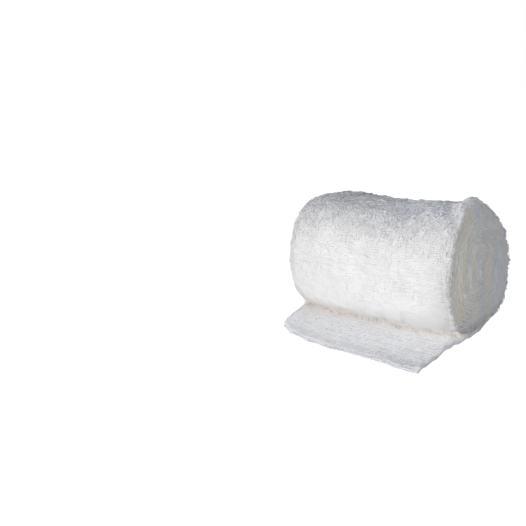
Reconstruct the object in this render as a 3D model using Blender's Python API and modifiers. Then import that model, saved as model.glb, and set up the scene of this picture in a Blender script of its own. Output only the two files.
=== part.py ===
"""A rolled gauze bandage, lying on its side with its loose end drawn out flat in front.

Sizes are millimetres, scaled to metres where points are made. X runs along the roll's axis, -Y is the
front and Z is up. The origin is on the floor under the middle of the roll. The strip comes down the back
of the roll, passes under it and runs forward along the floor, so the roll stands on its own loose end.
"""

import math
from collections import namedtuple

import bmesh
import bpy
from mathutils import Vector, noise

MM = 0.001

# Driving dimensions
BANDAGE_WIDTH = 76.0  # length of the roll and width of the strip
GAUZE_THICKNESS = 1.5  # of the fluffed loose end
GAP = 0.3  # between the loose end and the turn above it
STEP_Y = 8.0  # line under the roll where the outermost turn leaves it
SAG = 0.9  # how far the soft roll is pressed flat where it rests

# Mesh fineness
SECTIONS_ALONG = 34
FLAT_POINTS = 3
FRONT_LOW_POINTS = 13
FRONT_TOP_POINTS = 16
BACK_TOP_POINTS = 16
BACK_LOW_POINTS = 12
END_RINGS = 13
STRIP_ACROSS = 36
STRIP_ALONG = 22

# One row for each cross-section of the roll. front and back are the reach from the axis, height is the
# crown's, crown is the crown's place in y. The last four are how square each quarter is: 2 is an
# ellipse, more is squarer, less is more pointed.
Section = namedtuple("Section", "share front back height crown front_low front_top back_top back_low")
SECTIONS = (
    Section(0.00, 21.8, 23.0, 46.4, -1.5, 2.5, 2.1, 2.0, 2.6),
    Section(0.06, 23.6, 24.6, 48.6, -1.6, 2.7, 2.2, 2.0, 2.9),
    Section(0.24, 25.0, 25.4, 50.4, -1.8, 3.3, 2.3, 2.0, 3.1),
    Section(0.46, 25.9, 25.8, 49.2, -2.0, 3.5, 2.4, 2.0, 3.2),
    Section(0.72, 26.0, 26.4, 48.9, -2.0, 3.6, 2.3, 2.0, 3.3),
    Section(0.90, 25.6, 27.0, 50.2, -1.8, 3.6, 2.2, 2.0, 3.3),
    Section(1.00, 25.0, 27.4, 51.8, -1.4, 3.5, 2.1, 2.0, 3.3),
)
WIDEST_SHARE = 0.47  # height of the roll's widest line, as a share of its own height

# One row for each soft trough (depth over 0) or ridge (under 0) of the roll's side. around is degrees
# from the front up over the crown, along and spread are half lengths in mm and degrees, lean is how far
# the line drifts along X for each degree.
Wrinkle = namedtuple("Wrinkle", "share around depth along spread lean")
WRINKLES = (
    Wrinkle(0.50, 135, 2.6, 160.0, 27, 0.000),
    Wrinkle(1.00, 122, 1.9, 22.0, 26, 0.000),
    Wrinkle(0.50, 8, 0.9, 3.4, 34, 0.045),
    Wrinkle(0.47, -24, 0.8, 4.2, 12, 0.060),
    Wrinkle(0.89, 62, 1.1, 3.2, 30, -0.030),
    Wrinkle(0.97, 40, -0.6, 2.0, 46, 0.000),
    Wrinkle(0.71, 74, 0.7, 9.0, 15, 0.000),
    Wrinkle(0.23, 52, -0.5, 8.0, 14, 0.000),
    Wrinkle(0.12, 24, 0.6, 4.0, 30, 0.030),
    Wrinkle(0.30, 128, 0.8, 7.0, 20, -0.050),
    Wrinkle(0.66, 152, 0.9, 5.0, 26, 0.060),
    Wrinkle(0.44, 190, 0.7, 6.0, 18, 0.020),
)
LUMP_HEIGHT = 0.4
LUMP_SIZE = 9.0
RIM_LUMP_HEIGHT = 0.7
RIM_LUMP_SIZE = 4.0
RIM_REACH = 4.0  # how far from the right end the rim is fuzzed out
RELIEF_STARTS = 5.0  # height above the floor over which the relief grows to its full depth

# End faces: the edges of the turns
EDGE_ROUND = 1.3  # how far the rim is rounded over
END_TURNS = 3.5  # main turns that show as a spiral ridge
END_RELIEF = 0.45
END_CROWN = 1.4
TWIST_CENTRE = (1.0, 24.0)  # y and z of the innermost turn

# One row for each station along the loose end, from under the roll to the cut end: the selvages' places
# in x, and how far each is lifted off the floor.
Station = namedtuple("Station", "share left right left_lift right_lift")
STATIONS = (
    Station(0.00, -37.8, 37.8, 0.0, 0.0),
    Station(0.20, -39.0, 39.4, 0.0, 0.0),
    Station(0.44, -40.2, 38.0, 0.0, 0.0),
    Station(0.58, -39.8, 37.4, 0.8, 0.9),
    Station(0.72, -38.8, 37.2, 0.5, 0.6),
    Station(0.87, -37.4, 37.6, 0.9, 0.9),
    Station(1.00, -36.6, 38.6, 0.6, 0.2),
)
# One row for each place across the cut end: its y, and how far the edge curls up.
Cut = namedtuple("Cut", "share y lift")
CUT_END = (
    Cut(0.00, -32.4, 0.9),
    Cut(0.06, -36.4, 0.6),
    Cut(0.15, -40.0, 1.1),
    Cut(0.31, -43.6, 0.3),
    Cut(0.50, -44.8, 0.8),
    Cut(0.72, -46.5, 0.3),
    Cut(0.90, -48.2, 0.7),
    Cut(1.00, -50.2, 0.2),
)
EDGE_CURL = 7.0  # width of the band that lifts along each edge
RAGGED = 0.45
RAGGED_SIZE = 3.0

GAUZE_COLOUR = (0.84, 0.85, 0.87, 1.0)
LOOSE_COLOUR = (0.76, 0.78, 0.82, 1.0)


def clear_scene():
    for obj in list(bpy.data.objects):
        bpy.data.objects.remove(obj, do_unlink=True)


def blend_rows(rows, share):
    """The table's row at this share, eased between the two rows that hold it."""
    for low, high in zip(rows, rows[1:]):
        if share <= high.share:
            break
    part = (share - low.share) / (high.share - low.share)
    eased = part * part * (3 - 2 * part)
    return type(low)(*(a + (b - a) * eased for a, b in zip(low, high)))


def bump(distance, reach):
    return math.exp(-((distance / reach) ** 2))


def wave(point, size):
    """Smooth unevenness between about -1 and 1, the same each run."""
    return 2 * noise.noise(Vector(point) / size)


def quarter(reach, rise, exponent, count, start=0.0, stop=1.0):
    """Points of a quarter oval, from its side (start 0) to its crown (stop 1), evenly turned."""
    points = []
    for i in range(count + 1):
        turn = math.pi / 2 * (start + (stop - start) * i / count)
        across = reach * max(math.cos(turn), 0.0) ** (2 / exponent)
        points.append((across, rise * math.sin(turn) ** (2 / exponent)))
    return points


def outline(row):
    """(y, z) round one cross-section: under the roll, up its front, over the crown and down its back.

    The last point is the outer turn's lower edge at STEP_Y. The first is the turn above it, there.
    """
    lift = GAUZE_THICKNESS + GAP
    middle = row.height * WIDEST_SHARE
    leaving = 1 - math.asin((STEP_Y / row.back) ** (row.back_low / 2)) / (math.pi / 2)
    front_low = quarter(row.front, middle + SAG - lift, row.front_low, FRONT_LOW_POINTS)
    front_top = quarter(row.front + row.crown, row.height - middle, row.front_top, FRONT_TOP_POINTS)
    back_top = quarter(row.back - row.crown, row.height - middle, row.back_top, BACK_TOP_POINTS)
    back_low = quarter(row.back, middle + SAG, row.back_low, BACK_LOW_POINTS, stop=leaving)
    points = [(STEP_Y * (1 - i / FLAT_POINTS), lift) for i in range(FLAT_POINTS)]
    points += [(-y, middle - z) for y, z in reversed(front_low)]
    points += [(row.crown - y, middle + z) for y, z in front_top[1:]]
    points += [(row.crown + y, middle + z) for y, z in reversed(back_top[:-1])]
    points += [(y, middle - z) for y, z in back_low[1:]]
    return points


def floor_level(index, count):
    """How low a point of the outline may lie: on the floor behind the step, on the loose end before it."""
    behind = index >= count - BACK_LOW_POINTS
    return 0.0 if behind else GAUZE_THICKNESS + GAP


def degrees_apart(first, second):
    return (first - second + 180) % 360 - 180


def side_relief(point, around):
    """How far the side stands out, or in where it is under 0, at this point of the plain outline."""
    x = point[0]
    relief = LUMP_HEIGHT * wave(point, LUMP_SIZE)
    for row in WRINKLES:
        turned = degrees_apart(around, row.around)
        middle = (row.share - 0.5) * BANDAGE_WIDTH + row.lean * turned
        relief -= row.depth * bump(x - middle, row.along) * bump(turned, row.spread)
    from_rim = BANDAGE_WIDTH / 2 - x
    return relief + RIM_LUMP_HEIGHT * wave(point, RIM_LUMP_SIZE) * bump(from_rim, RIM_REACH)


def roll_ring(share, inset=0.0):
    """The points round the roll at this share of its length, drawn in by inset."""
    row = blend_rows(SECTIONS, share)
    x = (share - 0.5) * BANDAGE_WIDTH
    points = outline(row)
    ring = []
    for index, (y, z) in enumerate(points):
        out_y = y - TWIST_CENTRE[0]
        out_z = z - TWIST_CENTRE[1]
        radius = math.hypot(out_y, out_z)
        around = math.degrees(math.atan2(out_z, -out_y))
        level = floor_level(index, len(points))
        free = min(max((z - level) / RELIEF_STARTS, 0.0), 1.0)
        grow = free * (side_relief((x, y, z), around) - inset)
        ring.append((x, y + out_y / radius * grow, max(z + out_z / radius * grow, level)))
    return ring


def end_ring(rim, side, ring):
    """One ring of an end face, from the rim inwards, its spiral ridge the edges of the main turns."""
    share = 1 - ring / END_RINGS
    points = []
    for index, (x, y, z) in enumerate(rim):
        turned = index / len(rim)
        phase = 2 * math.pi * (END_TURNS * share - turned)
        ridge = END_RELIEF * math.cos(phase) * min(1.0, 4 * (1 - share))
        rise = END_CROWN * (1 - share * share) + ridge
        y_in = TWIST_CENTRE[0] + (y - TWIST_CENTRE[0]) * share
        z_in = TWIST_CENTRE[1] + (z - TWIST_CENTRE[1]) * share
        points.append((x + side * rise, y_in, z_in))
    return points


def join_rings(mesh, rings):
    """A skin over the rings, closed round each of them."""
    rows = [[mesh.verts.new(Vector(point) * MM) for point in ring] for ring in rings]
    for first, second in zip(rows, rows[1:]):
        for i in range(len(first)):
            after = (i + 1) % len(first)
            mesh.faces.new((first[i], first[after], second[after], second[i]))
    return rows


def close_with_point(mesh, row, point, turned):
    """A fan from the innermost ring to the middle of the twist."""
    tip = mesh.verts.new(Vector(point) * MM)
    for i in range(len(row)):
        after = (i + 1) % len(row)
        pair = (row[after], row[i]) if turned else (row[i], row[after])
        mesh.faces.new((*pair, tip))


def add_object(name, mesh, collection, material):
    data = bpy.data.meshes.new(name)
    mesh.normal_update()
    mesh.to_mesh(data)
    mesh.free()
    data.materials.append(material)
    data.shade_smooth()
    obj = bpy.data.objects.new(name, data)
    collection.objects.link(obj)
    return obj


def gauze_material(name, colour):
    material = bpy.data.materials.new(name)
    material.use_nodes = True
    shader = material.node_tree.nodes["Principled BSDF"]
    shader.inputs["Base Color"].default_value = colour
    shader.inputs["Roughness"].default_value = 0.95
    shader.inputs["Metallic"].default_value = 0.0
    return material


def make_wound_roll(collection):
    """The wound form: one solid, its outline a single turn of the spiral with the step underneath."""
    edge = EDGE_ROUND / BANDAGE_WIDTH
    shares = [edge + (1 - 2 * edge) * i / SECTIONS_ALONG for i in range(SECTIONS_ALONG + 1)]
    left_rim = roll_ring(0.0, EDGE_ROUND)
    right_rim = roll_ring(1.0, EDGE_ROUND)
    left_end = [end_ring(left_rim, -1, ring) for ring in range(1, END_RINGS)]
    right_end = [end_ring(right_rim, 1, ring) for ring in range(1, END_RINGS)]
    side = [roll_ring(share) for share in shares]
    mesh = bmesh.new()
    rows = join_rings(mesh, [*reversed(left_end), left_rim, *side, right_rim, *right_end])
    half = BANDAGE_WIDTH / 2 + END_CROWN
    close_with_point(mesh, rows[0], (-half, *TWIST_CENTRE), turned=True)
    close_with_point(mesh, rows[-1], (half, *TWIST_CENTRE), turned=False)
    bmesh.ops.recalc_face_normals(mesh, faces=mesh.faces)
    roll = add_object("wound_roll", mesh, collection, gauze_material("gauze", GAUZE_COLOUR))
    roll.data.set_sharp_from_angle(angle=math.radians(50))
    return roll


def strip_point(across, along):
    """The underside of the loose end at these shares of its width and length."""
    station = blend_rows(STATIONS, along)
    cut = blend_rows(CUT_END, across)
    x = station.left + (station.right - station.left) * across
    y = STEP_Y - GAP + (cut.y - STEP_Y + GAP) * along
    length = STEP_Y - cut.y
    from_left = (x - station.left) / EDGE_CURL
    from_right = (station.right - x) / EDGE_CURL
    from_cut = length * (1 - along) / EDGE_CURL
    lift = station.left_lift * bump(from_left, 0.6)
    lift += station.right_lift * bump(from_right, 0.6)
    lift += cut.lift * bump(from_cut, 0.6)
    side = 1 if across > 0.5 else -1
    ragged_x = side * RAGGED * wave((y, side * 20.0, 1.0), RAGGED_SIZE) * bump(min(from_left, from_right), 0.3)
    ragged_y = RAGGED * wave((x, 40.0, 5.0), RAGGED_SIZE) * bump(from_cut, 0.3)
    return x + ragged_x, y + ragged_y, lift if lift > 0.05 else 0.0


def make_loose_end(collection):
    """The strip's last stretch: a sheet that starts at the step under the roll and lies on the floor."""
    mesh = bmesh.new()
    rows = [
        [
            mesh.verts.new(Vector(strip_point(i / STRIP_ACROSS, j / STRIP_ALONG)) * MM)
            for i in range(STRIP_ACROSS + 1)
        ]
        for j in range(STRIP_ALONG + 1)
    ]
    for near, far in zip(rows, rows[1:]):
        for i in range(STRIP_ACROSS):
            mesh.faces.new((near[i], far[i], far[i + 1], near[i + 1]))
    strip = add_object("loose_end", mesh, collection, gauze_material("gauze_loose", LOOSE_COLOUR))
    solidify = strip.modifiers.new("thickness", "SOLIDIFY")
    solidify.thickness = GAUZE_THICKNESS * MM
    solidify.offset = 1.0
    return strip


def main():
    clear_scene()
    collection = bpy.data.collections.new("gauze_bandage_roll")
    bpy.context.scene.collection.children.link(collection)
    make_wound_roll(collection)
    make_loose_end(collection)


main()
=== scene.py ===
"""The gauze bandage roll, dressed: the wound turns, the outer turn with its loose end, their yarns and their fluff.

Everything is worked out in millimetres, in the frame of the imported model, and scaled to metres as meshes are
made. X runs along the roll's axis, -Y is the front and Z is up. The strip is one length of gauze: inner_turns is
the wound part of it, and outer_turn the last turn, which passes under the roll and ends as the loose end.
"""

import math

import bpy
import numpy as np
from mathutils import Matrix, Vector
from mathutils.bvhtree import BVHTree


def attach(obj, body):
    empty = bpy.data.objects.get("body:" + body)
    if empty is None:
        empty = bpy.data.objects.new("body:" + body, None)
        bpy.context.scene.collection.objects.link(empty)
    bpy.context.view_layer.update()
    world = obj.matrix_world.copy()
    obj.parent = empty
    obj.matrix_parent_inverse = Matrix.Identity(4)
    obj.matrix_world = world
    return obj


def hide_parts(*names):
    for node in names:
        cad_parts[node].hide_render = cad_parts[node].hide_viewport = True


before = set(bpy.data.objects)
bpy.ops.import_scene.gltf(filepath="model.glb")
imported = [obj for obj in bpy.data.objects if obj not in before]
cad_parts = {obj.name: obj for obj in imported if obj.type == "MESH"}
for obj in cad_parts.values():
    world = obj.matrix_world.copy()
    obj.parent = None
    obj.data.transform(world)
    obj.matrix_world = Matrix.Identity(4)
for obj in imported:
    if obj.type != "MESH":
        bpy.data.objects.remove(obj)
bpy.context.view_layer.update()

MM = 0.001

# The strip. Its form is that of the part's source, with the small unevenness of the real one.
WIDTH = 76.0
TURN_LENGTH = 157.0  # once round the roll in the outer turn
INNER_TURN_LENGTH = 155.0  # and in the turn under it
STEP_Y = 8.0
ON_LOOSE_END, ON_FLOOR = 1.9, 0.05  # height of the roll's underside, in front of the step and behind it
AXIS_Y, AXIS_Z = 1.0, 24.0
END_CROWN = 1.4
RIDGE_TURNS, RIDGE_HEIGHT = 3.5, 0.45
STATIONS = (  # share of the loose end's length, left and right selvage, their lifts
    (0.00, -37.8, 38.2, 0.0, 0.0),
    (0.20, -38.8, 39.8, 0.0, 0.0),
    (0.44, -38.8, 39.7, 0.0, 1.0),
    (0.58, -38.0, 39.2, 0.5, 1.4),
    (0.72, -36.8, 38.2, 0.4, 0.8),
    (0.87, -35.4, 37.9, 0.6, 0.8),
    (1.00, -33.8, 38.5, 0.4, 0.5),
)
CUT_END = (  # share of the width, y of the cut, its lift
    (0.00, -34.0, 0.3),
    (0.06, -38.8, 0.2),
    (0.15, -42.8, 0.35),
    (0.31, -45.8, 0.1),
    (0.50, -47.5, 0.25),
    (0.72, -48.1, 0.1),
    (0.90, -50.0, 0.15),
    (1.00, -50.3, 0.1),
)
RIM_TRIM = (  # degrees round the right rim from the front, how far it stands out there
    (0, 0.0), (66, 0.0), (80, 0.6), (86, 0.5), (92, -0.4), (101, -1.1), (109, -0.5), (120, 0.3),
    (145, 0.2), (152, -0.4), (162, -1.9), (169, -0.6), (176, 0.5), (182, 0.0), (191, 1.5), (200, 0.4),
    (208, 1.3), (217, 0.3), (226, 0.3), (236, -1.0), (252, -1.0), (262, 0.0), (360, 0.0),
)
WRINKLE = ((9.4, 69.0), (10.4, 55.0), (8.2, 38.0), (8.8, 29.0))  # across and along the outer turn
GROOVE = ((20.0, 84.5), (27.0, 83.0), (32.5, 75.5), (37.5, 67.5))
FLAP = ((34.0, 86.0), (36.5, 78.0), (38.0, 71.5))
FOLDS = ((FLAP, 2.4, 0.55), (GROOVE, 1.7, -0.8), (WRINKLE, 1.0, -0.35))  # each with its reach and its height
DENT = (14.0, 75.0)
SWELLS = (  # across and along the outer turn, the reach both ways, the height
    (-15.0, 63.0, 15.0, 7.5, 0.9),
    (14.0, 88.0, 10.0, 7.0, 0.5),
    (*DENT, 14.0, 8.0, -1.2),
)

# The outer turn
PLY = 0.5  # thickness of one turn
LOOSE_PLY = 0.95
LOOP_ROWS, LOOSE_ROWS, COLUMNS = 206, 74, 100

# The wound turns
TURNS = 46
INNER_PLY = 0.47  # the least thickness of one of them
OUTER_SHARE, FILLED_SHARE = 0.968, 0.94  # of the roll's radius: where they start, and how much of it they fill
SEAM_ROWS = 60  # rows of the profile repeated past its ends, to smooth across the step
ROWS_IN = (0.0, 0.45, 1.1, 2.4, 5.0, 12.0)  # how far in from the edge each row across the strip is

CREASE_Y, CREASE_Z = -17.2, 2.5  # where the roll meets the loose end in front

# Camera, fitted to the roll's outline in the photo
CAMERA_AT = (157.62, -259.24, 115.8)
CAMERA_AZIMUTH, CAMERA_ELEVATION, CAMERA_ROLL = 41.61, 16.69, -5.07
CAMERA_LENS = 51.33

LOWEST = 0.02  # no point of a piece lies lower
FLOOR_LIGHT = 0.05  # what the floor gives off, as a lit studio table does
FLOOR_GLOW = 0.82  # what more the camera sees of it

SHUFFLED = np.random.default_rng(3).permutation(256)
SLOPES = np.random.default_rng(5).normal(size=(256, 3))
SLOPES /= np.linalg.norm(SLOPES, axis=1)[:, None]


# ---------------------------------------------------------------- helpers


def wave(points, size, seed=0):
    """Smooth unevenness between about -1 and 1 at each point, for one size or a size for each axis."""
    spot = np.asarray(points, float) / size + 31.7 * seed
    cell = np.floor(spot).astype(int)
    part = spot - cell
    ease = part**3 * (part * (part * 6 - 15) + 10)
    total = np.zeros(spot.shape[:-1])
    for corner in np.ndindex(2, 2, 2):
        at = cell + corner
        key = SHUFFLED[at[..., 0] & 255]
        key = SHUFFLED[(key + at[..., 1]) & 255]
        key = SHUFFLED[(key + at[..., 2]) & 255]
        weight = np.prod(np.where(corner, ease, 1 - ease), axis=-1)
        total += weight * np.sum(SLOPES[key] * (part - corner), axis=-1)
    return 1.7 * total


def bump(distance, reach):
    return np.exp(-((distance / reach) ** 2))


def unit(vectors):
    return vectors / (np.linalg.norm(vectors, axis=-1, keepdims=True) + 1e-9)


def eased(rows, share):
    """The table's columns at each share, eased between the two rows that hold it."""
    rows = np.array(rows)
    high = np.clip(np.searchsorted(rows[:, 0], share), 1, len(rows) - 1)
    part = (share - rows[high - 1, 0]) / (rows[high, 0] - rows[high - 1, 0])
    part = part * part * (3 - 2 * part)
    return [rows[high - 1, k] + (rows[high, k] - rows[high - 1, k]) * part for k in range(1, rows.shape[1])]


def normals_of(grid):
    """Outward unit normals of a grid of points: rows go round the roll, columns go from left to right."""
    down = np.gradient(grid, axis=0)
    right = np.gradient(grid, axis=1)
    return unit(np.cross(right, down))


def smoothed(values, axis, reach):
    """A blur along one axis, its ends held."""
    kernel = bump(np.arange(-2 * reach, 2 * reach + 1), reach)
    kernel /= kernel.sum()
    edge = [(0, 0)] * values.ndim
    edge[axis] = (2 * reach, 2 * reach)
    padded = np.pad(values, edge, mode="edge")
    return np.apply_along_axis(lambda line: np.convolve(line, kernel, "valid"), axis, padded)


def add_mesh(name, points, faces, materials, slots=None, cloth=None):
    """A smooth mesh from an (n, 3) array in mm and an (m, 4) array of corners. None of it dips into the floor.

    slots is each face's material index, and cloth where each point lies in the cloth, across and along it in mm.
    """
    data = bpy.data.meshes.new(name)
    points = np.asarray(points, np.float32) * MM
    points[:, 2] = np.maximum(points[:, 2], LOWEST * MM)
    faces = np.asarray(faces, np.int32)
    sides = faces.shape[1]
    data.vertices.add(len(points))
    data.vertices.foreach_set("co", points.ravel())
    data.loops.add(faces.size)
    data.loops.foreach_set("vertex_index", faces.ravel())
    data.polygons.add(len(faces))
    data.polygons.foreach_set("loop_start", np.arange(0, faces.size, sides, dtype=np.int32))
    data.polygons.foreach_set("loop_total", np.full(len(faces), sides, np.int32))
    data.update(calc_edges=True)
    data.validate()
    data.shade_smooth()
    for material in materials:
        data.materials.append(material)
    if slots is not None:
        data.polygons.foreach_set("material_index", np.asarray(slots, np.int32))
    if cloth is not None:
        lies = data.attributes.new("cloth", "FLOAT_VECTOR", "POINT")
        lies.data.foreach_set("vector", np.asarray(cloth, np.float32).ravel())
    obj = bpy.data.objects.new(name, data)
    bpy.context.scene.collection.objects.link(obj)
    return obj


def grid_faces(rows, columns, start=0, turned=False):
    index = start + np.arange(rows * columns).reshape(rows, columns)
    faces = np.stack([index[:-1, :-1], index[:-1, 1:], index[1:, 1:], index[1:, :-1]], -1).reshape(-1, 4)
    return faces[:, ::-1] if turned else faces


def slab(outer, inner):
    """Points and faces of a closed sheet between two grids."""
    rows, columns = outer.shape[:2]
    count = rows * columns
    faces = [grid_faces(rows, columns, turned=True), grid_faces(rows, columns, count)]
    index = np.arange(count).reshape(rows, columns)
    rim = np.concatenate([index[0, :-1], index[:-1, -1], index[-1, :0:-1], index[:0:-1, 0]])
    after = np.roll(rim, -1)
    faces.append(np.stack([rim, after, after + count, rim + count], -1))
    return np.concatenate([outer.reshape(-1, 3), inner.reshape(-1, 3)]), np.concatenate(faces)


class Face:
    """A grid of points and normals that can be read between its rows and columns, and a little past its sides.

    start is how far along the cloth its first row lies, and length how far its last row lies past that, in mm.
    """

    def __init__(self, points, start, length, side=1.0):
        self.points = points
        self.start, self.length = start, length
        self.normals = side * normals_of(points)
        self.rows, self.columns = points.shape[:2]

    def at(self, row, column, lift):
        """Points at these rows and columns, lifted off the face. Past a side they bend over the edge."""
        r = np.clip(row, 0, self.rows - 1.001)
        c = np.clip(column, 0, self.columns - 1.001)
        i, j = r.astype(int), c.astype(int)
        a, b = (r - i)[..., None], (c - j)[..., None]
        corners = ((i, j, (1 - a) * (1 - b)), (i + 1, j, a * (1 - b)), (i, j + 1, (1 - a) * b), (i + 1, j + 1, a * b))
        point = sum(w * self.points[m, n] for m, n, w in corners)
        normal = sum(w * self.normals[m, n] for m, n, w in corners)
        across = self.points[i, j + 1] - self.points[i, j]
        along = self.points[i + 1, j] - self.points[i, j]
        past_c, past_r = (column - c)[..., None], (row - r)[..., None]
        droop = 0.25 * (np.abs(past_c) * np.linalg.norm(across, axis=-1, keepdims=True))
        droop = droop + 0.25 * np.abs(past_r) * np.linalg.norm(along, axis=-1, keepdims=True)
        return point + across * past_c + along * past_r + normal * (np.asarray(lift)[..., None] - droop)

    def over(self, x, run, lift):
        """Points over places in mm from the left side and the first row, and where those lie in the cloth."""
        row, column = run / self.length * (self.rows - 1), x / WIDTH * (self.columns - 1)
        return self.at(row, column, lift), np.stack([x - WIDTH / 2, run + self.start, 0 * x], -1)


def near_line(cloth, line, reach):
    """1 along a line of (across, along) places in the cloth, falling off over its reach on both sides."""
    least = np.full(cloth.shape[:-1], 1e9)
    for start, end in zip(line, line[1:]):
        start, run = np.array(start), np.subtract(end, start)
        part = np.clip(((cloth[..., :2] - start) @ run) / (run @ run), 0.0, 1.0)
        least = np.minimum(least, np.linalg.norm(cloth[..., :2] - start - part[..., None] * run, axis=-1))
    return bump(least, reach)


def tube_mesh(paths, radii):
    """Points and faces of three-sided yarns along paths of shape (count, steps, 3), radii of (count, steps)."""
    count, steps = paths.shape[:2]
    along = unit(np.gradient(paths, axis=1))
    steep = np.abs(along[..., 2:]) > 0.9
    side = unit(np.cross(along, np.where(steep, (0.0, 1.0, 0.0), (0.0, 0.0, 1.0))))
    other = np.cross(side, along)
    rings = []
    for k in range(3):
        turn = 2 * math.pi * k / 3
        rings.append(paths + radii[..., None] * (math.cos(turn) * side + math.sin(turn) * other))
    points = np.stack(rings, axis=2)
    index = np.arange(count * steps * 3).reshape(count, steps, 3)
    after = np.roll(index, -1, axis=2)
    faces = np.stack([index[:, :-1], after[:, :-1], after[:, 1:], index[:, 1:]], -1)
    return points.reshape(-1, 3), faces.reshape(-1, 4)


def ribbon_mesh(paths, facing, widths):
    """Points and faces of flat fibres along paths (count, steps, 3), which face one way, widths of (count, steps)."""
    count, steps = paths.shape[:2]
    half = unit(np.cross(np.gradient(paths, axis=1), facing)) * widths[..., None] / 2
    points = np.stack([paths - half, paths + half], axis=2)
    index = np.arange(count * steps * 2).reshape(count, steps, 2)
    faces = np.stack([index[:, :-1, 0], index[:, :-1, 1], index[:, 1:, 1], index[:, 1:, 0]], -1)
    return points.reshape(-1, 3), faces.reshape(-1, 4)


# ---------------------------------------------------------------- materials


def feed(tree, socket, value):
    """Sets an input to a plain value, or links it from another socket."""
    if isinstance(value, bpy.types.NodeSocket):
        tree.links.new(value, socket)
    else:
        socket.default_value = value


def new_node(tree, kind, *values, **named):
    """A shader node, its inputs fed in their order or by name."""
    node = tree.nodes.new("ShaderNode" + kind)
    for socket, value in zip(node.inputs, values):
        feed(tree, socket, value)
    for name, value in named.items():
        feed(tree, node.inputs[name], value)
    return node


def noise_node(tree, vector, scale, detail=3.0, rough=0.55, warp=0.0):
    node = new_node(tree, "TexNoise", Vector=vector, Scale=scale, Detail=detail, Roughness=rough, Distortion=warp)
    return node.outputs["Fac"]


def ramp_node(tree, fac, stops):
    node = new_node(tree, "ValToRGB", fac)
    while len(node.color_ramp.elements) < len(stops):
        node.color_ramp.elements.new(0.5)
    for element, (place, colour) in zip(node.color_ramp.elements, stops):
        element.position = place
        element.color = (*colour, 1.0)
    return node.outputs["Color"]


def cloth_node(tree):
    """Where a point lies in the cloth, across and along it in mm."""
    node = new_node(tree, "Attribute")
    node.attribute_name = "cloth"
    return node.outputs["Vector"]


def math_node(tree, operation, *values, clamp=False):
    """The result of a sum of sockets and plain numbers."""
    node = new_node(tree, "Math")
    node.operation = operation
    node.use_clamp = clamp
    for socket, value in zip(node.inputs, values):
        feed(tree, socket, value)
    return node.outputs[0]


def range_node(tree, value, low, high, start, end, kind="LINEAR"):
    """start where a value is at low or under it, end where it is at high or over it."""
    node = new_node(tree, "MapRange", value, low, high, start, end)
    node.interpolation_type = kind
    return node.outputs["Result"]


def bump_node(tree, height, height_mm, normal=None):
    """The normal of a relief, over another one where it is given."""
    node = new_node(tree, "Bump", Strength=1.0, Distance=height_mm * MM, Height=height)
    if normal:
        feed(tree, node.inputs["Normal"], normal)
    return node.outputs["Normal"]


def bunched(tree, height_mm):
    """The normal of yarns bunched in slanting strands about a millimetre wide, that follow the cloth."""
    lies = cloth_node(tree)
    strands = []
    for slant, shift in ((0.6, 0.0), (-0.5, 57.0)):
        mapping = new_node(tree, "Mapping", lies, (shift, 0.0, 0.0), (0.0, 0.0, slant), (1.0, 3.6, 1.0))
        mapping.vector_type = "TEXTURE"
        strands.append(noise_node(tree, mapping.outputs["Vector"], 1.0, 2.5, 0.6, 0.8))
    return bump_node(tree, math_node(tree, "MAXIMUM", *strands), height_mm)


def blend_node(tree, fac, first, second, kind="MIX"):
    """first where fac is 0 and second where it is 1. Both are colour sockets or plain colours."""
    node = new_node(tree, "Mix", fac)
    node.data_type = "RGBA"
    node.blend_type = kind
    for socket, value in ((node.inputs[6], first), (node.inputs[7], second)):
        feed(tree, socket, (*value, 1.0) if isinstance(value, tuple) else value)
    return node.outputs[2]


def near_node(tree, value, centre, reach):
    """1 where a value is at centre, easing to 0 at reach on both sides."""
    away = math_node(tree, "ABSOLUTE", math_node(tree, "SUBTRACT", value, centre))
    return range_node(tree, away, 0.0, reach, 1.0, 0.0, "SMOOTHSTEP")


def times_node(tree, first, second):
    return math_node(tree, "MULTIPLY", first, second, clamp=True)


def crease_painted_light_and_shade(tree, colour, places):
    """The cloth's colour along the crease where the loose end leaves the roll: warmer and lighter as painted light,
    and specked brown as painted shade.
    """
    _, y, z = new_node(tree, "SeparateXYZ", places).outputs
    # Painted light: along the crease, where shade falls, the colour is made warmer and lighter.
    band = times_node(tree, near_node(tree, y, CREASE_Y * MM, 7.5 * MM), near_node(tree, z, CREASE_Z * MM, 7.5 * MM))
    lit_band = blend_node(tree, times_node(tree, band, 0.6), colour, (0.955, 0.915, 0.87))
    # Painted shade: brown specks in the same band.
    specks = range_node(tree, noise_node(tree, places, 900.0, 3.0, 0.65, 0.6), 0.53, 0.62, 0.0, 1.0)
    specks = times_node(tree, times_node(tree, specks, band), 0.55)
    return blend_node(tree, specks, lit_band, (0.66, 0.52, 0.40))


def on_cloth(tree, across, along):
    """1 at a place in the cloth, easing to 0. Each of across and along is a centre and a reach, in mm."""
    x, y, _ = new_node(tree, "SeparateXYZ", cloth_node(tree)).outputs
    return times_node(tree, near_node(tree, x, *across), near_node(tree, y, *along))


def painted_light_and_rim_shade(tree, colour, places):
    """The yarns' colour: with the crease's painted light and painted shade, lighter on top at the right as painted
    light, and greyer at the right rim on the front as painted shade.
    """
    # Painted light: lighter on top at the right.
    lit_top_right = on_cloth(tree, (22.0, 36.0), (81.0, 18.0))
    colour = blend_node(tree, lit_top_right, crease_painted_light_and_shade(tree, colour, places), (0.97, 0.97, 0.99))
    # Painted shade: greyer along the right rim on the front, where it turns to the shaded end.
    rim_shade = on_cloth(tree, (39.0, 12.0), (38.0, 36.0))
    return blend_node(tree, rim_shade, colour, (0.72, 0.715, 0.72))


def shaded(tree, colour, places):
    """The outer turn's colour: as its yarns', and cooler and darker on top at the left as painted shade."""
    # Painted shade: cooler and darker on top at the left.
    apart = on_cloth(tree, (-26.0, 46.0), (90.0, 34.0))
    return blend_node(tree, apart, painted_light_and_rim_shade(tree, colour, places), (0.58, 0.61, 0.69))


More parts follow.
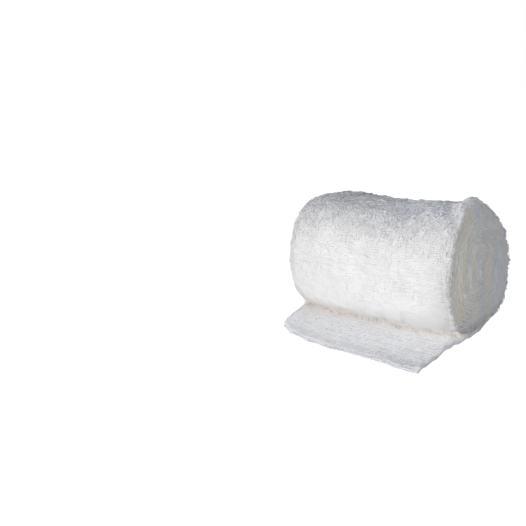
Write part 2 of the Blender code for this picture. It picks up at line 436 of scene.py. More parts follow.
def streaked(tree, colour, places):
    """The turns' colour, in soft upright streaks of cream and cool grey as on the ends of the roll."""
    mapping = new_node(tree, "Mapping", Vector=places, Scale=(0.05, 1.0, 0.16))
    streaks = noise_node(tree, mapping.outputs["Vector"], 190.0, 2.5, 0.55, 0.3)
    tints = ((0.36, (0.80, 0.83, 0.86)), (0.5, (0.845, 0.85, 0.84)), (0.64, (0.89, 0.86, 0.78)))
    return blend_node(tree, 1.0, colour, ramp_node(tree, streaks, tints), "MULTIPLY")


def cotton(name, low, high, crimp=0.0, stretch=(1.0, 1.0, 1.0), strands=0.0, sheen=0.08, tint_and_painted_shading=None):
    """Bleached cotton: two tints mottled at a few millimetres, with relief where the yarns aren't meshes.

    crimp and strands are the heights of its crimped and its bunched yarns in mm, and its last argument, a function of
    (tree, colour, places), changes its colour by place: some add real streaks of tone, others painted light and
    shade.
    """
    material = bpy.data.materials.new(name)
    material.use_nodes = True
    tree = material.node_tree
    shader = tree.nodes["Principled BSDF"]
    shader.inputs["Roughness"].default_value = 0.93
    shader.inputs["Specular IOR Level"].default_value = 0.15
    shader.inputs["Sheen Weight"].default_value = sheen
    shader.inputs["Sheen Roughness"].default_value = 0.6
    places = new_node(tree, "TexCoord").outputs["Object"]
    stretched = new_node(tree, "Mapping", Vector=places, Scale=stretch).outputs["Vector"]
    mottle = noise_node(tree, stretched, 260.0, 4.0, 0.6, 0.3)
    colour = ramp_node(tree, mottle, ((0.3, low), (0.7, high)))
    if tint_and_painted_shading:
        colour = tint_and_painted_shading(tree, colour, places)
    tree.links.new(colour, shader.inputs["Base Color"])
    normal = bunched(tree, strands) if strands else None
    if crimp:
        normal = bump_node(tree, noise_node(tree, stretched, 900.0, 3.0, 0.6, 0.6), crimp, normal)
    if normal:
        tree.links.new(normal, shader.inputs["Normal"])
    return material


CLOTH = cotton(
    "gauze_cloth", (0.79, 0.785, 0.775), (0.84, 0.835, 0.83), 0.2, (0.7, 1.0, 1.0), strands=0.3, tint_and_painted_shading=shaded
)
TURN = cotton("gauze_turns", (0.92, 0.915, 0.905), (1.0, 1.0, 1.0), 0.25, tint_and_painted_shading=streaked)
YARN = cotton("gauze_yarn", (0.83, 0.828, 0.823), (0.88, 0.878, 0.876), strands=0.3, tint_and_painted_shading=painted_light_and_rim_shade)
END_FLUFF = cotton("gauze_end_fibres", (0.88, 0.875, 0.865), (0.98, 0.98, 0.98), tint_and_painted_shading=streaked)
# Brown fibres set into the crease and under the right end: painted shade.
SHADE_FIBRE = cotton("gauze_shade_fibres", (0.50, 0.40, 0.32), (0.74, 0.64, 0.54))
SINGLE = {"sheen": 0.3, "tint_and_painted_shading": crease_painted_light_and_shade}  # the loose end, which light passes through; its colour takes the crease's painted light and painted shade
# The loose end's cloth, seen between its yarns, is darker than the roll's: painted shade in the gaps.
SHADED_SINGLE_CLOTH = cotton(
    "gauze_cloth_painted_shade", (0.62, 0.625, 0.64), (0.80, 0.805, 0.815), 0.3, (0.7, 1.0, 1.0), strands=1.0, **SINGLE
)
# Its yarns are lighter than the roll's: painted light that makes the loose end brighter than the roll's top.
LIT_SINGLE_YARN = cotton("gauze_yarn_painted_light", (0.95, 0.95, 0.955), (0.99, 0.99, 0.993), strands=0.6, **SINGLE)


# ---------------------------------------------------------------- the roll's surface


def roll_profile():
    """Arc-even points round the roll's outer face at each column: (LOOP_ROWS, COLUMNS, 3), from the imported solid.

    They start under the roll at the step, go up the front, over the crown and down the back to the step.
    """
    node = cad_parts["wound_roll"]
    tree = BVHTree.FromObject(node, bpy.context.evaluated_depsgraph_get())
    stations = np.linspace(-36.4, 36.4, 27)  # clear of the rounded rims
    step_turn = math.degrees(math.atan2(ON_LOOSE_END - AXIS_Z, AXIS_Y - STEP_Y))
    turns = np.radians(np.linspace(step_turn + 0.6, step_turn + 359.6, 240))
    reach = np.empty((len(turns), len(stations)))
    for j, x in enumerate(stations):
        origin = Vector((x, AXIS_Y, AXIS_Z)) * MM
        for i, turn in enumerate(turns):
            hit = tree.ray_cast(origin, Vector((0.0, -math.cos(turn), math.sin(turn))))
            reach[i, j] = hit[3] / MM
    xs = np.linspace(-WIDTH / 2, WIDTH / 2, COLUMNS)
    reach = np.stack([np.interp(xs, stations, row) for row in reach])
    reach = smoothed(smoothed(reach, 1, 2), 0, 1)
    y = AXIS_Y - reach * np.cos(turns)[:, None]
    z = AXIS_Z + reach * np.sin(turns)[:, None]
    grid = np.empty((LOOP_ROWS, COLUMNS, 3))
    for j, x in enumerate(xs):
        length = np.concatenate([[0.0], np.cumsum(np.hypot(np.diff(y[:, j]), np.diff(z[:, j])))])
        even = np.linspace(0, length[-1], LOOP_ROWS)
        grid[:, j, 0] = x
        grid[:, j, 1] = np.interp(even, length, y[:, j])
        grid[:, j, 2] = np.interp(even, length, z[:, j])
    return grid, reach, turns


def cloth_coordinates(rows, length):
    """(x, run along the strip, 0) in mm for each point of a grid, for patterns that lie in the cloth."""
    across, along = np.meshgrid(np.linspace(-WIDTH / 2, WIDTH / 2, COLUMNS), np.linspace(0, length, rows))
    return np.stack([across, along, np.zeros_like(across)], -1)


def crinkle(cloth):
    """The fine relief of crinkled gauze: short pleats across the strip, broken up by softer puckers."""
    bent = cloth.copy()
    bent[..., 1] += 1.1 * wave(cloth, (7.0, 5.0, 1.0), 4)
    pleats = wave(bent, (4.0, 1.3, 1.0), 1)
    puckers = wave(cloth, (2.1, 1.9, 1.0), 2)
    soft = wave(cloth, (9.0, 6.0, 1.0), 3)
    return 0.07 * pleats + 0.15 * puckers + 0.16 * soft


def dress_roll():
    """The outer turn's outer face round the roll, with its relief."""
    grid, reach, turns = roll_profile()
    cloth = cloth_coordinates(LOOP_ROWS, TURN_LENGTH)
    normal = normals_of(grid)
    in_front = np.arange(LOOP_ROWS)[:, None] < LOOP_ROWS / 2
    level = np.where(in_front, ON_LOOSE_END, ON_FLOOR)
    free = np.clip((grid[..., 2] - level) / 2.5, 0.0, 1.0)  # 0 where the roll rests
    relief = crinkle(cloth)
    from_right = WIDTH / 2 - grid[..., 0]
    from_left = WIDTH / 2 + grid[..., 0]
    rim = 0.32 * wave(grid, 2.2, 8) * (bump(from_right, 2.6) + 0.7 * bump(from_left, 2.6))
    turned_in = -0.25 - 0.6 * (bump(from_right, 0.6) + bump(from_left, 0.6))
    across, along = cloth[..., 0], cloth[..., 1]
    relief *= 1 + 0.8 * bump(along - 84.0, 15.0)
    for at_across, at_along, reach_across, reach_along, height in SWELLS:
        relief += height * bump(across - at_across, reach_across) * bump(along - at_along, reach_along)
    folds = sum(height * near_line(cloth, line, fold_reach) for line, fold_reach, height in FOLDS)
    turned = np.degrees(np.arctan2(grid[..., 2] - AXIS_Z, AXIS_Y - grid[..., 1])) % 360
    trim = np.interp(turned, *np.transpose(RIM_TRIM)) * bump(from_right, 9.0)
    grid = grid + normal * (free * (relief + rim + turned_in + folds + trim))[..., None]
    teeth = np.abs(wave(cloth, (60.0, 1.6, 1.0), 9)) ** 0.7 - 0.45
    edge = 0.7 * teeth + 0.12 * wave(cloth, (60.0, 7.0, 1.0), 10)
    grid[..., 0] += edge * (bump(from_right, 2.2) - bump(from_left, 2.2)) + 0.6 * bump(from_left, 3.0)
    grid[..., 2] = np.maximum(grid[..., 2], level)
    return grid, reach, turns


def loose_grid():
    """The loose end's underside and top."""
    share = np.linspace(0, 1, LOOSE_ROWS + 1)[1:]
    across = np.linspace(0, 1, COLUMNS)
    left, right, left_lift, right_lift = (v[:, None] for v in eased(STATIONS, share))
    cut_y, cut_lift = (v[None, :] for v in eased(CUT_END, across))
    x = left + (right - left) * across
    y = STEP_Y - 0.3 + (cut_y - STEP_Y + 0.3) * share[:, None]
    length = STEP_Y - cut_y
    from_left, from_right = x - left, right - x
    from_cut = length * (1 - share[:, None])
    cloth = np.stack([x, 160.0 + length * share[:, None], np.zeros_like(x)], -1)
    uneven = np.clip(0.2 + 1.3 * wave(cloth, (6.0, 6.0, 1.0), 12), 0.0, None)
    lift = 0.6 * left_lift * bump(from_left, 4.2) + right_lift * bump(from_right, 3.4)
    lift = lift + cut_lift * bump(from_cut, 4.2)
    free = 1 - np.clip((y + 17.0) / 4.0, 0.0, 1.0)  # 0 under the roll, 1 in front of it
    climbs = np.clip((y - cut_y) / (-16.5 - cut_y), 0.0, 1.0) * (1 - np.clip((y + 16.5) / 3.5, 0.0, 1.0) ** 2)
    ramp = 1.5 * climbs * (0.5 + 0.5 * across) * (1 - 0.5 * bump(from_left, 3.0))
    bottom = ON_FLOOR + 0.6 * ramp + free * (lift * uneven + 0.2 * np.clip(crinkle(cloth), 0.0, None))
    thin = 1 - 0.6 * np.maximum(bump(from_cut, 1.1), 0.7 * bump(from_left, 0.9))
    thickness = thin * (LOOSE_PLY + 0.3 * bump(from_right, 2.0) + free * 1.3 * np.clip(crinkle(cloth), -0.35, None))
    puffed = 0.4 * ramp + 0.6 * bump(y + 16.2, 2.5) * (1 + 0.3 * wave(cloth, (3.0, 3.0, 1.0), 15))
    puffed *= (1 - bump(from_left, 2.5)) * (1 - 0.5 * bump(from_right, 1.5))
    top = bottom + thickness + puffed
    ragged_x = 0.35 * wave(cloth, (60.0, 2.6, 1.0), 13) * (1 - bump(from_cut, 4.0))
    ragged_x *= bump(from_right, 2.0) - bump(from_left, 2.0)
    ragged_y = 0.2 * wave(cloth, (2.6, 60.0, 1.0), 14) * bump(from_cut, 2.0)
    x, y = x + ragged_x, y + ragged_y
    under = 0.8 * bump(from_cut, 1.0)
    return np.stack([x, y + under, bottom], -1), np.stack([x, y, top], -1)


roll_outer, REACH, TURN_ANGLES = dress_roll()
roll_inner = roll_outer - PLY * normals_of(roll_outer)
roll_inner[..., 2] = np.maximum(roll_inner[..., 2], 0.4)
loose_bottom, loose_top = loose_grid()

outer = np.concatenate([roll_outer, loose_bottom])
inner = np.concatenate([roll_inner, loose_top])
points, faces = slab(outer, inner)
# A face is in the loose end where any of its corners is past the roll's rows, in either grid
in_loose = (faces % (len(outer) * COLUMNS)).max(axis=1) >= LOOP_ROWS * COLUMNS
lies = cloth_coordinates(len(outer), TURN_LENGTH * len(outer) / LOOP_ROWS).reshape(-1, 3)
outer_turn = add_mesh("outer_turn", points, faces, (CLOTH, SHADED_SINGLE_CLOTH), in_loose, np.concatenate([lies, lies]))


# ---------------------------------------------------------------- the wound turns


def spiral_angles():
    """How far the spiral has turned at each of its rows, in radians, and how far in it is, from 0 to 1."""
    turned_by, total = [0.0], 2 * math.pi * TURNS
    while turned_by[-1] < total:
        radius = AXIS_Z * (1 - turned_by[-1] / total) + 0.1
        turned_by.append(turned_by[-1] + min(0.32, 1.37 / radius))
    turned_by = np.array(turned_by[:-1])
    return turned_by % (2 * math.pi), turned_by / total


def end_ridge(share, angle):
    """How far the turns' edges stand out as a spiral ridge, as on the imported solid."""
    wave_at = RIDGE_TURNS * share - angle / (2 * np.pi)
    return RIDGE_HEIGHT * np.cos(2 * np.pi * wave_at) * np.minimum(1, 4 * (1 - share))


def wound_turns():
    """Outer and inner faces of the spiral from under the outer turn to the middle of the roll."""
    angle, depth = spiral_angles()
    start = TURN_ANGLES[0]
    run = np.concatenate([[0.0], np.cumsum(np.diff(depth) * TURNS * INNER_TURN_LENGTH * (1 - depth[1:]))])
    in_from_edge = np.array(ROWS_IN)
    x_rows = np.concatenate([in_from_edge - WIDTH / 2, [0.0], WIDTH / 2 - in_from_edge[::-1]])
    around = np.concatenate([REACH, REACH[:1]])
    seamless = np.concatenate([REACH[-SEAM_ROWS:], REACH, REACH[:SEAM_ROWS]])
    seamless = smoothed(seamless, 0, 16)[SEAM_ROWS : 1 - SEAM_ROWS]
    lookup = angle / (2 * math.pi) * len(REACH)
    low = lookup.astype(int)
    part = lookup - low
    share = OUTER_SHARE - FILLED_SHARE * depth
    rounder = np.clip((0.97 - share) * 5, 0, 1)  # the step in the profile fades from turn to turn
    grid = np.empty((len(angle), len(x_rows), 3))
    ply = np.empty(grid.shape[:2])
    side = np.sign(x_rows)
    from_edge = WIDTH / 2 - np.abs(x_rows)
    dent_at = roll_outer[int(DENT[1] / TURN_LENGTH * LOOP_ROWS), COLUMNS // 2]
    dent_turn = math.atan2(dent_at[2] - AXIS_Z, AXIS_Y - dent_at[1])
    xs = np.linspace(-WIDTH / 2, WIDTH / 2, COLUMNS)
    for j, x in enumerate(x_rows):
        column = np.clip(np.searchsorted(xs, x), 1, COLUMNS - 2)
        with_step, smooth = (
            profile[low, column] * (1 - part) + profile[low + 1, column] * part for profile in (around, seamless)
        )
        reach = with_step + rounder * (smooth - with_step)
        turned = start + angle
        radius = reach * share
        ply[:, j] = np.maximum(INNER_PLY, FILLED_SHARE / TURNS * reach + 0.03)  # as far as the next turn
        spot = np.stack([np.full_like(run, 3.0 * side[j]), -np.cos(turned) * radius, np.sin(turned) * radius], -1)
        calm = np.clip((share - 0.02) * 4, 0, 1) * np.clip((0.97 - share) * 8, 0, 1)
        shift_y = 0.9 * wave(spot, (40.0, 11.0, 11.0), 20) * calm
        shift_z = 0.9 * wave(spot, (40.0, 11.0, 11.0), 21) * calm
        ruffle = np.stack([run, np.full_like(run, 9.0 * side[j]), 0 * run], -1)
        flutter = 0.2 * wave(ruffle, (2.7, 1.0, 1.0), 22) * bump(from_edge[j], 1.4)
        degrees = np.degrees(turned) % 360
        off_floor = np.clip((AXIS_Z + np.sin(turned) * radius - ON_LOOSE_END) / 2.5, 0.0, 1.0)
        trim = off_floor * np.interp(degrees, *np.transpose(RIM_TRIM)) * bump(WIDTH / 2 - x, 9.0) * share**4
        radius = radius + flutter + trim - 0.45 * (1 - bump(from_edge[j], 5.0)) * np.minimum(share * 2, 1)
        # Under the dent in the outer turn they dip as it does
        dent = bump(x - DENT[0], 24.0) * (1 - bump(from_edge[j], 7.0)) * bump(turned - dent_turn, 0.38)
        radius -= 1.5 * share * dent
        proud = END_CROWN * (1 - share**2) + 0.25 * end_ridge(share, angle) - 0.35
        uneven = 0.13 * wave(ruffle, (5.0, 1.0, 1.0), 23) + 0.2 * wave(ruffle, (1.6, 1.0, 1.0), 24)
        rings = np.stack([share * 25, np.full_like(run, 5.0 * side[j]), 0 * run], -1)
        group = 0.12 * wave(rings, (2.6, 1.0, 1.0), 25)
        grid[:, j, 0] = x + side[j] * (proud + uneven + group) * bump(from_edge[j], 4.0)
        grid[:, j, 1] = AXIS_Y - np.cos(turned) * radius + shift_y
        grid[:, j, 2] = AXIS_Z + np.sin(turned) * radius + shift_z
    return grid, grid - ply[..., None] * normals_of(grid)


turn_outer, turn_inner = wound_turns()
inner_turns = add_mesh("inner_turns", *slab(turn_outer, turn_inner), (TURN,))


# ---------------------------------------------------------------- yarns


def standing(along):
    """How much fluff and yarn stands up at each place along the cloth: little at the front, where it is pressed."""
    front = np.clip((along - 58.0) / 14.0, 0.0, 1.0)
    return 0.2 + 0.8 * front * front * (3 - 2 * front)


def bundles(cloth):
    """Yarns pulled together in slanting strands: height between about -1 and 1."""
    strands = []
    for slant, seed in ((0.6, 26), (-0.5, 27)):
        c, s = math.cos(slant), math.sin(slant)
        across = c * cloth[..., 0] + s * cloth[..., 1]
        along = c * cloth[..., 1] - s * cloth[..., 0]
        strands.append(wave(np.stack([across, along, 0 * along], -1), (1.15, 4.2, 1.0), seed))
    return np.maximum(strands[0], strands[1]) - 0.15


def yarn_net(face, pitch_across, pitch_along, seed, over, thick, bundled, step=0.7):
    """Weft and warp yarns over a face: (paths, radii, cloth places) for each. They wander, sag apart and bunch.

    pitch_across parts the warp and pitch_along the weft, over is how far yarns pass the cloth's edge, bundled how
    high they bunch, and step the length of a piece of yarn.
    """
    source = np.random.default_rng(seed)
    nets = []
    for weft, pitch, span, run in (
        (True, pitch_along, face.length, WIDTH),
        (False, pitch_across, WIDTH, face.length),
    ):
        places = np.arange(0.35, span - 0.1, pitch)
        places = places + source.uniform(-0.28, 0.28, len(places)) * pitch
        steps = int(run / step)
        along = np.linspace(-over, run + over, steps)[None, :] + source.uniform(-0.5, 0.5, (len(places), 1)) * over
        place = np.repeat(places[:, None], steps, 1)
        cloth = np.stack([along, place, np.full_like(place, seed)], -1)
        apart = np.repeat(np.arange(len(places))[:, None] * 7.31, steps, 1)  # so that each yarn wanders alone
        own = np.stack([along, apart, np.full_like(place, seed + 3.0)], -1)
        place = place + 0.55 * wave(cloth, (5.0, 4.0, 1.0), 30) + 0.22 * wave(own, (1.7, 1.0, 1.0), 31)
        height = 0.05 + 0.15 * wave(own, (1.9, 1.0, 1.0), 32) + (0.04 if weft else 0.0)
        spot = (along, place) if weft else (place, along)
        _, lies = face.over(*spot, height)
        height = height + bundled * standing(lies[..., 1]) * bundles(lies)
        paths, _ = face.over(*spot, height)
        radii = thick * (1 + 0.3 * wave(own, (2.6, 1.0, 1.0), 33)) * source.uniform(0.8, 1.2, (len(places), 1))
        nets.append((paths, radii, np.repeat(lies.reshape(-1, 3), 3, axis=0)))
    return nets


ROW_LENGTH = TURN_LENGTH / LOOP_ROWS
roll_height = roll_outer[:, COLUMNS // 2, 2]
first_row = int(np.min(np.nonzero(roll_height > ON_LOOSE_END + 0.4)[0]))
last_row = int(np.max(np.nonzero(roll_height > 0.4)[0]))
roll_face = Face(roll_outer[first_row : last_row + 1], ROW_LENGTH * first_row, ROW_LENGTH * (last_row - first_row))

loose_y = loose_top[:, COLUMNS // 2, 1]
loose_first = int(np.min(np.nonzero(loose_y < -10.0)[0]))
loose_start = ROW_LENGTH * (LOOP_ROWS + loose_first)
loose_face = Face(loose_top[loose_first:], loose_start, loose_y[loose_first] - loose_y[-1], side=-1.0)

ROLL_NET = {"pitch_across": 0.85, "pitch_along": 0.8, "seed": 41, "over": 0.6, "thick": 0.13, "bundled": 0.75}
LOOSE_NET = {"pitch_across": 1.2, "pitch_along": 1.1, "seed": 42, "over": 0.1, "thick": 0.17, "bundled": 0.3}
weft, warp = [], []
for face, net in ((roll_face, ROLL_NET), (loose_face, LOOSE_NET)):
    for store, (paths, radii, lies) in zip((weft, warp), yarn_net(face, **net)):
        store.append((*tube_mesh(paths, radii), lies))


def joined(parts):
    """Points, faces, slots and cloth places of several meshes as one, the slots their place in the list."""
    points, faces, slots, cloth, start = [], [], [], [], 0
    for slot, (some_points, some_faces, lies) in enumerate(parts):
        points.append(some_points)
        faces.append(some_faces + start)
        slots.append(np.full(len(some_faces), slot))
        cloth.append(lies)
        start += len(some_points)
    return np.concatenate(points), np.concatenate(faces), np.concatenate(slots), np.concatenate(cloth)


def add_joined(name, parts, materials):
    """One piece from several meshes, such as those on the roll and on the loose end, each with its material."""
    points, faces, slots, cloth = joined(parts)
    return add_mesh(name, points, faces, materials, slots, cloth)


weft_yarns = add_joined("weft_yarns", weft, (YARN, LIT_SINGLE_YARN))
warp_yarns = add_joined("warp_yarns", warp, (YARN, LIT_SINGLE_YARN))


# ---------------------------------------------------------------- fluff


def curls(face, count, steps, source, longest, height, curl, share):
    """Curled paths (count, steps, 3) out of a face and back to it, its normals there, and the cloth places.

    share(along) is how thick they lie at each place along the cloth.
    """
    x = source.uniform(0.0, WIDTH, count)
    places = np.linspace(0.0, face.length, 200)
    thick = np.cumsum(share(places + face.start))
    s = np.interp(source.uniform(thick[0], thick[-1], count), thick, places)
    heading = source.uniform(0, 2 * math.pi, count)
    size = source.uniform(0.3, 1.0, count) * longest
    bend = source.normal(0, 1.0, count)
    turns = np.cumsum(source.normal(0, curl, (count, steps)), 1) / steps
    angles = heading[:, None] + bend[:, None] * np.linspace(0, 1, steps) + turns
    stride = (size / (steps - 1))[:, None]
    xs = x[:, None] + np.cumsum(np.cos(angles) * stride, 1)
    ss = s[:, None] + np.cumsum(np.sin(angles) * stride, 1)
    t = np.linspace(0, 1, steps)[None, :]
    arch = source.uniform(0.15, 1.0, (count, 1)) ** 1.5 * height
    lift = arch * np.sin(np.pi * t) + source.uniform(0, 0.25, (count, 1)) * (0.4 + 0.6 * t)
    lift = 0.02 + lift * (0.1 + 0.9 * standing(ss + face.start))
    xs, ss = np.clip(xs, -0.3, WIDTH + 0.3), np.clip(ss, -0.3, face.length + 0.1)
    paths, lies = face.over(xs, ss, lift)
    return paths, face.over(xs, ss, lift + 1.0)[0] - paths, lies


def lint(face, count, seed, longest=4.5, height=0.5, thick=0.085, steps=5):
    """Fine flat fibres that lie in and over a face: (points, faces, cloth places)."""
    source = np.random.default_rng(seed)
    paths, normal, lies = curls(
        face, count, steps, source, longest, height, 2.4, lambda along: 1.25 - 0.75 * standing(along)
    )
    t = np.linspace(0, 1, steps)[None, :]
    widths = thick * source.uniform(0.7, 1.3, (count, 1)) * (1 - 0.75 * t**4)
    return *ribbon_mesh(paths, normal, widths), np.repeat(lies.reshape(-1, 3), 2, axis=0)


def yarn_loops(face, count, seed, longest, height, thick, steps=7):
    """Kinks of yarn that stand out of a face in short curls: (points, faces, cloth places)."""
    source = np.random.default_rng(seed)
    paths, _, lies = curls(face, count, steps, source, longest, height, 4.5, lambda along: standing(along) - 0.17)
    radii = thick * source.uniform(0.7, 1.3, (count, 1)) * np.ones((1, steps))
    return *tube_mesh(paths, radii), np.repeat(lies.reshape(-1, 3), 3, axis=0)


def crease_lint(count, seed, span=1.0, thick=0.11):
    """Fibres that bridge the crease between the roll and the loose end: (points, faces, cloth places).

    span is the share of the way across it that each one goes.
    """
    source = np.random.default_rng(seed)
    steps = 5
    contact = np.empty(COLUMNS, int)  # the row where each column of the roll leaves the loose end
    for j in range(COLUMNS):
        low = loose_top[:, j]
        y, z = roll_outer[:60, j, 1:].T  # its underside and lower front
        gap = z - np.interp(-y, -low[:, 1], low[:, 2])
        near = (gap < 0.25) & (y < -8.0)
        contact[j] = np.max(np.nonzero(near)[0]) + 1 if near.any() else np.argmin(gap + 9.0 * (y > -12.0))
    column = source.uniform(0, COLUMNS - 1.01, count)
    j = column.astype(int)
    ahead = np.clip(j + source.integers(-5, 6, count), 0, COLUMNS - 1)
    high = roll_outer[contact[j] + source.integers(0, 5, count), j]
    meets = roll_outer[contact[ahead], ahead, 1] - source.uniform(0.2, 3.0, count)
    low = np.empty((count, 3))
    for k in range(count):
        line = loose_top[:, ahead[k]]
        low[k] = [np.interp(-meets[k], -line[:, 1], line[:, axis]) for axis in range(3)]
    shift = source.uniform(-0.4, 0.4, (count, 1)) * (1.0, 0.0, 0.0)
    high, low = high + shift, low + shift
    bulge = (high + low) / 2 + source.uniform(-0.1, 0.9, (count, 1)) * (0.0, -0.8, 0.35)
    t = source.uniform(0, 1 - span, (count, 1, 1)) + span * np.linspace(0, 1, steps)[None, :, None]
    paths = (1 - t) ** 2 * high[:, None] + 2 * t * (1 - t) * bulge[:, None] + t**2 * low[:, None]
    paths[:, 1:-1] += source.normal(0, 0.12, (count, steps - 2, 3))
    widths = thick * source.uniform(0.65, 1.35, (count, 1)) * np.ones((1, steps))
    points, faces = ribbon_mesh(paths, (0.0, -0.8, 0.6), widths)
    return points, faces, points


def under_end_lint(count, seed):
    """Fibres that bridge the turns' edges and the loose end, under the right end: (points, faces, cloth places)."""
    source = np.random.default_rng(seed)
    y = source.uniform(-16.0, 7.5, count)
    high = np.stack([source.uniform(36.5, 38.3, count), y, source.uniform(ON_LOOSE_END, 3.6, count)], -1)
    x_low, y_low = source.uniform(37.6, 39.0, count), y + source.uniform(-1.2, 1.2, count)
    low = np.stack([x_low, y_low, np.full(count, 1.15)], -1)
    t = np.linspace(0, 1, 4)[None, :, None]
    bulge = np.sin(np.pi * t) * source.uniform(0.0, 0.5, (count, 1, 1)) * (0.8, 0.0, 0.2)
    paths = high[:, None] * (1 - t) + low[:, None] * t + bulge
    widths = source.uniform(0.08, 0.18, (count, 1)) * np.ones((1, 4))
    points, faces = ribbon_mesh(paths, (0.8, 0.0, 0.6), widths)
    return points, faces, points


surface_lint = add_joined(
    "surface_lint",
    (
        lint(roll_face, 10500, 51),
        lint(loose_face, 1300, 52, height=0.3),
        crease_lint(1500, 55),
        # the thick brown fibres, here and under the right end, are painted shade
        crease_lint(420, 56, span=0.2, thick=0.26),
        under_end_lint(600, 57),
        under_end_lint(120, 58),
    ),
    (YARN, LIT_SINGLE_YARN, YARN, SHADE_FIBRE, LIT_SINGLE_YARN, SHADE_FIBRE),
)
loops = add_joined(
    "yarn_kinks",
    (
        yarn_loops(roll_face, 3000, 53, longest=5.0, height=0.7, thick=0.15),
        yarn_loops(loose_face, 450, 54, longest=4.2, height=0.3, thick=0.1),
    ),
    (YARN, LIT_SINGLE_YARN),
)


def straying(source, spot, heading, size, steps, spread, pull=0.0):
    """Paths (count, steps, 3) of some lengths from spots and headings, which turn by chance as they go."""
    paths = np.empty((len(spot), steps, 3))
    for k in range(steps):
        paths[:, k] = spot
        spot = spot + heading * (size / (steps - 1))[:, None]
        heading = unit(heading + source.normal(0, 1, spot.shape) * spread - pull)
    return paths


def rim_fluff(side, count, seed):
    """Curled yarn ends that stand round the rim of one end."""
    source = np.random.default_rng(seed)
    row = source.uniform(0, roll_face.rows - 1.01, count)
    edge_column = roll_face.columns - 1 if side > 0 else 0
    inwards = source.uniform(-0.2, 3.2, count)
    column = edge_column - side * inwards / WIDTH * (roll_face.columns - 1)
    base = roll_face.at(row, column, np.full(count, -0.1))
    normal = roll_face.at(row, column, np.full(count, 0.9)) - base
    out = np.array([side, 0.0, 0.0])
    along = np.cross(normal, out)
    clump = wave(base, 2.4, seed)
    lean = source.uniform(-0.4, 2.0, count)[:, None]
    heading = normal * (0.7 + 0.3 * clump[:, None]) + out * lean + along * source.normal(0, 0.8, count)[:, None]
    size = source.uniform(0.5, 1.7, count) * (1 + 0.7 * clump)
    paths = straying(source, base, unit(heading), size, 6, 0.55, 0.22 * normal)
    thin = np.linspace(1, 0.45, 6)[None, :] * source.uniform(0.07, 0.13, (count, 1))
    points, faces = tube_mesh(paths, thin)
    return points, faces, points


rim = add_joined("rim_fluff", (rim_fluff(1, 1700, 61), rim_fluff(-1, 1300, 62)), (YARN, YARN))


def end_lint(side, count, seed):
    """Fibres that lie across the edges of the turns at one end."""
    source = np.random.default_rng(seed)
    turn = source.uniform(0, 2 * math.pi, count)
    share = np.sqrt(source.uniform(0.0, 0.94, count))
    lookup = (np.degrees(turn - TURN_ANGLES[0]) % 360) / 359.0 * (len(TURN_ANGLES) - 1)
    reach = REACH[np.clip(lookup.astype(int), 0, len(TURN_ANGLES) - 1), COLUMNS - 4 if side > 0 else 3]
    x = side * (WIDTH / 2 + END_CROWN * (1 - share**2) + 0.25 * end_ridge(share, turn - TURN_ANGLES[0]) - 0.1)
    spot = np.stack([x, AXIS_Y - np.cos(turn) * reach * share, AXIS_Z + np.sin(turn) * reach * share], -1)
    heading = unit(source.normal(0, 1, (count, 3)) * (0.18, 1.0, 1.0))
    size = source.uniform(0.5, 2.4, count)
    paths = straying(source, spot, heading, size, 5, (0.175, 0.5, 0.5))
    widths = source.uniform(0.07, 0.16, (count, 1)) * np.linspace(1, 0.5, 5)[None, :]
    points, faces = ribbon_mesh(paths, (side, 0.0, 0.0), widths)
    return points, faces, points


ends = add_joined("end_lint", (end_lint(1, 6500, 71), end_lint(-1, 5000, 72)), (END_FLUFF, END_FLUFF))


# ---------------------------------------------------------------- the pieces on their body, the imported solids hidden

for piece in (outer_turn, inner_turns, weft_yarns, warp_yarns, surface_lint, loops, rim, ends):
    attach(piece, "root")
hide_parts("wound_roll")
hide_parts("loose_end")


# ---------------------------------------------------------------- floor, light and camera


def floor_material():
    """Near white paper. The camera sees it a little lit from itself, so that the part's soft shadow stays pale."""
    material = bpy.data.materials.new("studio_floor")
    material.use_nodes = True
    tree = material.node_tree
    tree.nodes.clear()
    paper = new_node(tree, "BsdfDiffuse", Color=(0.82, 0.82, 0.83, 1.0))
    seen = new_node(tree, "LightPath").outputs["Is Camera Ray"]
    level = math_node(tree, "MULTIPLY_ADD", seen, FLOOR_GLOW, FLOOR_LIGHT)
    glow = new_node(tree, "Emission", Color=(1.0, 1.0, 1.0, 1.0), Strength=level)
    both = new_node(tree, "AddShader", paper.outputs[0], glow.outputs[0])
    new_node(tree, "OutputMaterial", Surface=both.outputs[0])
    return material


def add_floor():
    half = 4.0
    data = bpy.data.meshes.new("floor")
    data.from_pydata([(-half, -half, 0), (half, -half, 0), (half, half, 0), (-half, half, 0)], [], [(0, 1, 2, 3)])
    data.materials.append(floor_material())
    floor = bpy.data.objects.new("floor", data)
    bpy.context.scene.collection.objects.link(floor)


def add_world():
    world = bpy.data.worlds.new("studio")
    bpy.context.scene.world = world
    world.use_nodes = True
    tree = world.node_tree
    tree.nodes.clear()
    fill = new_node(tree, "Background", Color=(0.86, 0.97, 1.22, 1.0), Strength=0.190)
    seen = new_node(tree, "Background", Color=(1.0, 1.0, 1.0, 1.0), Strength=1.0)
    ray = new_node(tree, "LightPath")
    mix = new_node(tree, "MixShader", ray.outputs["Is Camera Ray"], fill.outputs[0], seen.outputs[0])
    new_node(tree, "OutputWorld", Surface=mix.outputs[0])


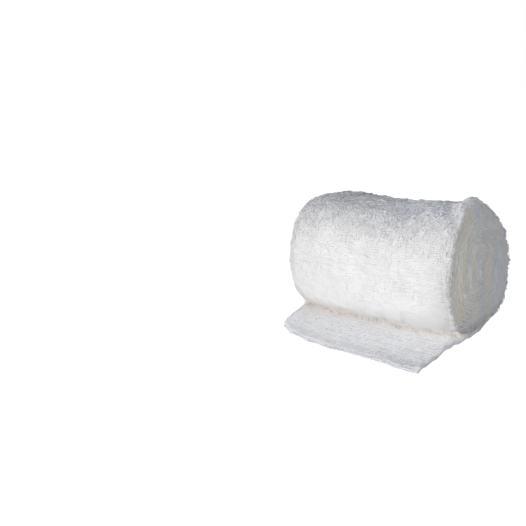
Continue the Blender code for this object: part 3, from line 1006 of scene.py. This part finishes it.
def add_softbox(name, azimuth, elevation, distance, size, power, colour, centre=(0.0, 0.0, 0.02), spread=180.0):
    """An area light that faces the roll. Azimuth 0 is in front of it and 90 off its right end.

    distance and size, its width and height, are in metres and power in watts. spread is how wide its grid lets
    the light fan out, in degrees.
    """
    light = bpy.data.lights.new(name, "AREA")
    light.shape = "RECTANGLE"
    light.size, light.size_y = size
    light.spread = math.radians(spread)
    light.energy = power
    light.color = colour
    obj = bpy.data.objects.new(name, light)
    bpy.context.scene.collection.objects.link(obj)
    a, e = math.radians(azimuth), math.radians(elevation)
    back = Vector((math.sin(a) * math.cos(e), -math.cos(a) * math.cos(e), math.sin(e)))
    obj.location = Vector(centre) + back * distance
    obj.rotation_mode = "QUATERNION"
    obj.rotation_quaternion = (-back).to_track_quat("-Z", "Y")
    obj.visible_camera = False


def add_camera():
    a, e, r = (math.radians(v) for v in (CAMERA_AZIMUTH, CAMERA_ELEVATION, CAMERA_ROLL))
    ahead = Vector((-math.sin(a) * math.cos(e), math.cos(a) * math.cos(e), -math.sin(e)))
    right = Vector((math.cos(a), math.sin(a), 0.0))
    up = right.cross(ahead)
    right, up = right * math.cos(r) + up * math.sin(r), up * math.cos(r) - right * math.sin(r)
    data = bpy.data.cameras.new("camera")
    data.lens, data.sensor_width = CAMERA_LENS, 36.0
    data.clip_start, data.clip_end = 0.01, 30.0
    camera = bpy.data.objects.new("camera", data)
    bpy.context.scene.collection.objects.link(camera)
    turn = Matrix((right, up, -ahead)).transposed()
    camera.matrix_world = Matrix.Translation(Vector(CAMERA_AT) * MM) @ turn.to_4x4()
    bpy.context.scene.camera = camera


add_floor()
add_world()
add_softbox("key", 0.0, 17.0, 0.27, (0.19, 0.19), 0.555, (1.02, 1.0, 0.975))
add_softbox("side", 88.0, 8.0, 0.6, (0.3, 0.3), 0.77, (1.03, 1.0, 0.94))
add_softbox("back", 212.0, 4.0, 0.7, (0.45, 0.45), 3.8, (1.02, 1.0, 0.96))  # for views from behind
FOOT = (0.0, -0.028, 0.003)  # the middle of the loose end, which the strip alone lights
add_softbox("strip", 0.0, 47.0, 0.15, (0.09, 0.012), 0.0021, (1.0, 0.99, 1.0), FOOT, 14.0)
add_camera()
bpy.context.scene.view_settings.view_transform = "Standard"
